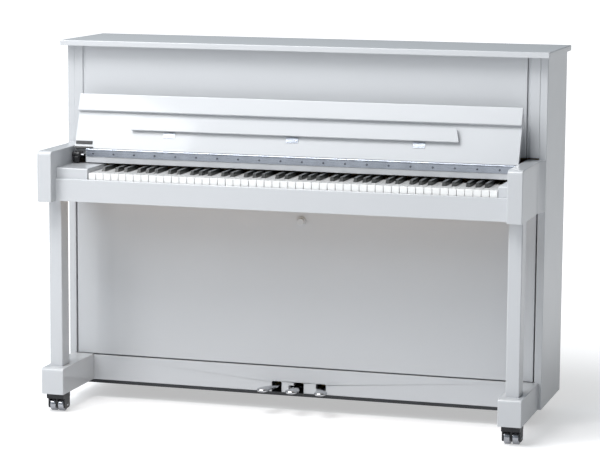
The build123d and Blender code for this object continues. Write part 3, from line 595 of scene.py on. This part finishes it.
def build_soft_fall():
    """The damper that lets the fallboard down slowly: its body, its arm and its pads."""
    body = bmesh.new()
    barrel = [(0, 0), (7.5, 0), (9.2, 1.5), (9.6, 4), (9.6, 9), (8.6, 9.6), (8.6, 11), (9.6, 11.6),
              (9.6, 20), (9.0, 22), (6.0, 23), (6.0, 25), (0, 25)]
    barrel = [(r * MM, h * MM) for r, h in barrel]
    turned(body, barrel, facing((SOFT_FALL_X, SOFT_FALL_Y, SOFT_FALL_Z), (1, 0, 0)))
    eased_box(body, (-675 * MM, -134 * MM, 741 * MM), (-656 * MM, -117 * MM, 760 * MM), 4 * MM)
    eased_box(body, (-672 * MM, -131 * MM, 739 * MM), (-659 * MM, -120 * MM, 745 * MM), 2 * MM)
    eased_box(body, (-671 * MM, -125 * MM, 760 * MM), (-646 * MM, -119 * MM, 776 * MM), 1.5 * MM)
    made = piece("soft_fall_body", body, black_plastic, "case")
    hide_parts("soft_fall_damper")
    stem = bmesh.new()
    rod = [(0, 0), (2.4, 0), (2.4, 6), (3.4, 6.4), (3.4, 9), (2.6, 9.8), (0, 10)]
    rod = [(r * MM, h * MM) for r, h in rod]
    turned(stem, rod, facing((SOFT_FALL_STEM_X, SOFT_FALL_Y, SOFT_FALL_Z), (1, 0, 0)))
    piece("soft_fall_stem", stem, chrome, "case")
    pads = bmesh.new()
    for low_up, high_up, left, right in ((16, 26, -671, -619), (1.5, 8.5, -673, -615)):
        corners = []
        for off in (0.0, SOFT_FALL_PAD_THICK):
            for x, up in ((left, low_up), (right, low_up), (right, high_up), (left, high_up)):
                corners.append(pads.verts.new(on_board(x, up, off)))
        faces = [corners[0:4], corners[4:8]]
        for index in range(4):
            after = (index + 1) % 4
            faces.append([corners[index], corners[after], corners[after + 4], corners[index + 4]])
        for face in faces:
            pads.faces.new(face)
    made = piece("soft_fall_pads", pads, black_plastic, "fallboard")
    round_off = made.modifiers.new("eased_edges", "BEVEL")
    round_off.width = 0.8 * MM
    round_off.segments = 3


# ---------------------------------------------------------------- keys
def build_key_felts():
    """The felt strip over the keys' backs, along the foot of the nameboard rail, near-black so that it
    also paints the shade there.
    """
    strip = bmesh.new()
    eased_box(strip, (-580 * MM, -119 * MM, 739.6 * MM), (644 * MM, -106 * MM, 741 * MM), 0.5 * MM)
    piece("nameboard_felt", strip, felt_and_painted_shade, "case")


# ---------------------------------------------------------------- pedals
def pedal_width(y):
    """Half the width of a pedal at a distance along it."""
    if y >= PEDAL_NECK_Y:
        return PEDAL_BAR_HALF * MM
    if y >= PEDAL_TOE_Y:
        share = (PEDAL_NECK_Y - y) / (PEDAL_NECK_Y - PEDAL_TOE_Y)
        ease = share * share * (3 - 2 * share)
        return (PEDAL_BAR_HALF + (PEDAL_TOE_HALF - PEDAL_BAR_HALF) * ease) * MM
    share = (PEDAL_TOE_Y - y) / (PEDAL_TOE_Y - PEDAL_TIP_Y)
    return PEDAL_TOE_HALF * MM * math.sqrt(max(0.0, 1 - share ** 2.4))


def pedal_middle(y, splay):
    """How far the middle of a pedal has moved sideways at a distance along it."""
    if y >= PEDAL_NECK_Y:
        return 0.0
    share = min(1.0, (PEDAL_NECK_Y - y) / (PEDAL_NECK_Y - PEDAL_TOE_Y))
    return splay * share * share * (3 - 2 * share)


def build_pedal(x, splay, node):
    """A cast and plated pedal: a rounded bar that widens to a crowned toe."""
    mesh = bmesh.new()
    lengths = [PEDAL_BACK_Y, PEDAL_BACK_Y - 1 * MM, 90 * MM, 30 * MM, 0.0]
    toe_run = PEDAL_TIP_Y - PEDAL_NECK_Y
    lengths += [PEDAL_NECK_Y + toe_run * step / PEDAL_TOE_STEPS for step in range(PEDAL_TOE_STEPS)]
    lengths.append(PEDAL_TIP_Y + 0.15 * MM)
    loops = []
    for y in lengths:
        half = max(pedal_width(y), 0.6 * MM)
        toe = min(1.0, max(0.0, (PEDAL_NECK_Y - y) / (PEDAL_NECK_Y - PEDAL_TOE_Y)))
        end = min(1.0, half / (12 * MM))
        up = (4 + 1.6 * toe) * MM * end
        down = (4 + 0.5 * toe) * MM * end
        loop = []
        for step in range(PEDAL_SIDES):
            angle = 2 * math.pi * step / PEDAL_SIDES
            side = math.copysign(abs(math.cos(angle)) ** 0.55, math.cos(angle))
            rise = math.copysign(abs(math.sin(angle)) ** 0.75, math.sin(angle))
            height = rise * (up if rise > 0 else down)
            place = (x + pedal_middle(y, splay) + side * half, y, PEDAL_Z + height)
            loop.append(mesh.verts.new(place))
        loops.append(loop)
    for here, there in zip(loops, loops[1:]):
        for step in range(PEDAL_SIDES):
            after = (step + 1) % PEDAL_SIDES
            mesh.faces.new((here[step], here[after], there[after], there[step]))
    mesh.faces.new(loops[0])
    mesh.faces.new(loops[-1])
    made = piece(f"{node}_lever", mesh, chrome, node, 60)
    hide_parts(node)


def build_pedal_bushings():
    """Dark felts on the sides of the three pedal slots in the bottom rail."""
    mesh = bmesh.new()
    for x in (-PEDAL_SPACING, 0, PEDAL_SPACING):
        for side in (-1, 1):
            at_slot = x + side * SLOT_HALF
            at_pedal = x + side * (SLOT_HALF - SLOT_FELT_THICK)
            low = (min(at_slot, at_pedal), -18 * MM, 59 * MM)
            high = (max(at_slot, at_pedal), 4 * MM, 88 * MM)
            if x == 0 and side < 0:
                low = (low[0], low[1], 81 * MM)
            eased_box(mesh, low, high, 0.3 * MM)
    piece("pedal_slot_felts", mesh, rubber, "case")


# ---------------------------------------------------------------- casters
def wheel_face_profile(radius, width):
    """A wheel's half section: tread, rounded shoulders, a dished face and a raised hub."""
    half = width / 2
    pairs = [
        (3.3 * MM, half - 0.2 * MM), (6 * MM, half), (6.6 * MM, half - 0.8 * MM),
        (radius * 0.66, half - 1.6 * MM), (radius * 0.74, half - 0.4 * MM), (radius * 0.92, half),
        (radius * 0.985, half - 0.8 * MM), (radius, half - 2 * MM),
    ]
    mirrored = [(r, -h) for r, h in reversed(pairs)]
    return pairs + mirrored


def build_wheels(name, node, centres, radius, width):
    """Profiled wheels on one body, in place of the plain ones."""
    mesh = bmesh.new()
    for centre in centres:
        ring_turned(mesh, wheel_face_profile(radius, width), facing(centre, (1, 0, 0)))
    made = piece(name, mesh, wheel_steel, node)
    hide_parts(node)


def build_axle_nuts():
    """Bright domed axle ends on the outer cheeks of the front casters."""
    dome = [(0, 0), (4.4, 0), (4.4, 1.0), (3.6, 1.9), (2.0, 2.5), (0, 2.7)]
    dome = [(r * MM, h * MM) for r, h in dome]
    for sign, side in ((-1, "left"), (1, "right")):
        mesh = bmesh.new()
        for end in (-1, 1):
            place = (sign * FRONT_WHEEL_X + end * CHEEK_OUTER, FRONT_AXLE_Y, FRONT_AXLE_Z)
            turned(mesh, dome, facing(place, (end, 0, 0)))
        piece(f"axle_nuts_{side}", mesh, chrome, f"front_caster_{side}")


build_hinge_strip()
build_lid_leaves()
build_flap_screws()
build_buffers()
build_soft_fall()
build_key_felts()
build_pedal(-PEDAL_SPACING, -PEDAL_SPLAY, "soft_pedal")
build_pedal(0.0, 0.0, "muffler_pedal")
build_pedal(PEDAL_SPACING, PEDAL_SPLAY, "sustain_pedal")
build_pedal_bushings()
for sign, side_name in ((-1, "left"), (1, "right")):
    wheel_centres = [(sign * FRONT_WHEEL_X + offset, FRONT_AXLE_Y, FRONT_AXLE_Z)
                     for offset in (-FRONT_WHEEL_OFFSET, FRONT_WHEEL_OFFSET)]
    build_wheels(f"wheel_pair_{side_name}", f"front_wheels_{side_name}", wheel_centres,
                 FRONT_WHEEL_RADIUS, FRONT_WHEEL_WIDTH)
rear_centres = [(sign * REAR_WHEEL_X, REAR_AXLE_Y, REAR_AXLE_Z) for sign in (-1, 1)]
build_wheels("wheel_pair_rear", "rear_wheels", rear_centres, REAR_WHEEL_RADIUS, REAR_WHEEL_WIDTH)
build_axle_nuts()


# ---------------------------------------------------------------- stage, lights and camera
def floor_glow_with_painted_shadow(mat, shader):
    """Emission that grows with distance from the piano, dimmer near it as a painted shadow, and is weaker
    to all but the camera.
    """
    tree = mat.node_tree
    shader.inputs["Emission Color"].default_value = (1, 1, 1, 1)
    coords = tree.nodes.new("ShaderNodeTexCoord")
    reach = tree.nodes.new("ShaderNodeVectorMath")
    reach.operation = "LENGTH"
    # The glow is weaker near the piano: a painted shadow round the foot of the case.
    glow = tree.nodes.new("ShaderNodeMapRange")
    glow.inputs["From Min"].default_value = FLOOR_GLOW_FROM
    glow.inputs["From Max"].default_value = FLOOR_GLOW_TO
    glow.inputs["To Min"].default_value = FLOOR_GLOW_NEAR_PAINTED_SHADOW
    glow.inputs["To Max"].default_value = FLOOR_GLOW_FAR
    path = tree.nodes.new("ShaderNodeLightPath")
    seen = tree.nodes.new("ShaderNodeMapRange")
    seen.inputs["To Min"].default_value = FLOOR_GLOW_UNSEEN
    product = tree.nodes.new("ShaderNodeMath")
    product.operation = "MULTIPLY"
    tree.links.new(coords.outputs["Object"], reach.inputs[0])
    tree.links.new(reach.outputs["Value"], glow.inputs["Value"])
    tree.links.new(path.outputs["Is Camera Ray"], seen.inputs["Value"])
    tree.links.new(glow.outputs["Result"], product.inputs[0])
    tree.links.new(seen.outputs["Result"], product.inputs[1])
    tree.links.new(product.outputs["Value"], shader.inputs["Emission Strength"])


def build_floor():
    """A plain pale floor that is partly luminous, standing in for a lit studio sweep, its glow dimmed
    near the piano as a painted shadow.
    """
    data = bpy.data.meshes.new("studio_floor")
    reach = FLOOR_HALF
    corners = [(-reach, -reach, 0), (reach, -reach, 0), (reach, reach, 0), (-reach, reach, 0)]
    data.from_pydata(corners, [], [(0, 1, 2, 3)])
    mat, shader = new_material("studio_white", (0.7, 0.7, 0.71), 0.8)
    tone = ramp(mat, noise(mat, 0.8), (0.69, 0.69, 0.7), (0.71, 0.71, 0.72))
    mat.node_tree.links.new(tone, shader.inputs["Base Color"])
    floor_glow_with_painted_shadow(mat, shader)
    data.materials.append(mat)
    floor = bpy.data.objects.new("studio_floor", data)
    bpy.context.collection.objects.link(floor)


def add_area(name, place, target, size, power):
    """A white rectangular light at a place, turned to a target."""
    light = bpy.data.lights.new(name, "AREA")
    light.shape = "RECTANGLE"
    light.size = size[0]
    light.size_y = size[1]
    light.energy = power
    made = bpy.data.objects.new(name, light)
    made.location = place
    made.rotation_euler = (Vector(target) - Vector(place)).to_track_quat("-Z", "Y").to_euler()
    bpy.context.collection.objects.link(made)


def build_lights():
    """A pale surround, brighter at the left, and soft lights overhead and high in front at the left."""
    world = bpy.data.worlds.new("studio_surround")
    world.use_nodes = True
    tree = world.node_tree
    background = tree.nodes["Background"]
    coords = tree.nodes.new("ShaderNodeTexCoord")
    split = tree.nodes.new("ShaderNodeSeparateXYZ")
    sides = tree.nodes.new("ShaderNodeMapRange")
    sides.inputs["From Min"].default_value = -1.0
    sides.inputs["To Min"].default_value = SURROUND_LEFT
    sides.inputs["To Max"].default_value = SURROUND_RIGHT
    tree.links.new(coords.outputs["Generated"], split.inputs["Vector"])
    tree.links.new(split.outputs["X"], sides.inputs["Value"])
    tree.links.new(sides.outputs["Result"], background.inputs["Strength"])
    background.inputs["Color"].default_value = (0.84, 0.93, 1.0, 1)
    seen = tree.nodes.new("ShaderNodeBackground")
    seen.inputs["Strength"].default_value = SURROUND_SEEN
    seen.inputs["Color"].default_value = (1, 1, 1, 1)
    path = tree.nodes.new("ShaderNodeLightPath")
    mix = tree.nodes.new("ShaderNodeMixShader")
    tree.links.new(path.outputs["Is Camera Ray"], mix.inputs["Fac"])
    tree.links.new(background.outputs["Background"], mix.inputs[1])
    tree.links.new(seen.outputs["Background"], mix.inputs[2])
    tree.links.new(mix.outputs["Shader"], tree.nodes["World Output"].inputs["Surface"])
    bpy.context.scene.world = world
    add_area("overhead", OVERHEAD_PLACE, OVERHEAD_TARGET, OVERHEAD_SIZE, OVERHEAD_POWER)
    add_area("key", KEY_PLACE, KEY_TARGET, KEY_SIZE, KEY_POWER)


def build_camera():
    """The camera, turned by its yaw, pitch and roll."""
    forward = Vector((-math.sin(CAMERA_YAW) * math.cos(CAMERA_PITCH),
                      math.cos(CAMERA_YAW) * math.cos(CAMERA_PITCH), math.sin(CAMERA_PITCH)))
    level = Vector((math.cos(CAMERA_YAW), math.sin(CAMERA_YAW), 0))
    upright = level.cross(forward)
    right = math.cos(CAMERA_ROLL) * level + math.sin(CAMERA_ROLL) * upright
    up = math.cos(CAMERA_ROLL) * upright - math.sin(CAMERA_ROLL) * level
    turn = Matrix((right, up, -forward)).transposed().to_4x4()
    data = bpy.data.cameras.new("camera")
    data.lens = CAMERA_LENS
    data.sensor_width = 36.0
    data.clip_end = 200.0
    camera = bpy.data.objects.new("camera", data)
    camera.matrix_world = Matrix.Translation(CAMERA_PLACE) @ turn
    bpy.context.collection.objects.link(camera)
    bpy.context.scene.camera = camera


build_floor()
build_lights()
build_camera()
bpy.context.scene.view_settings.view_transform = "Standard"
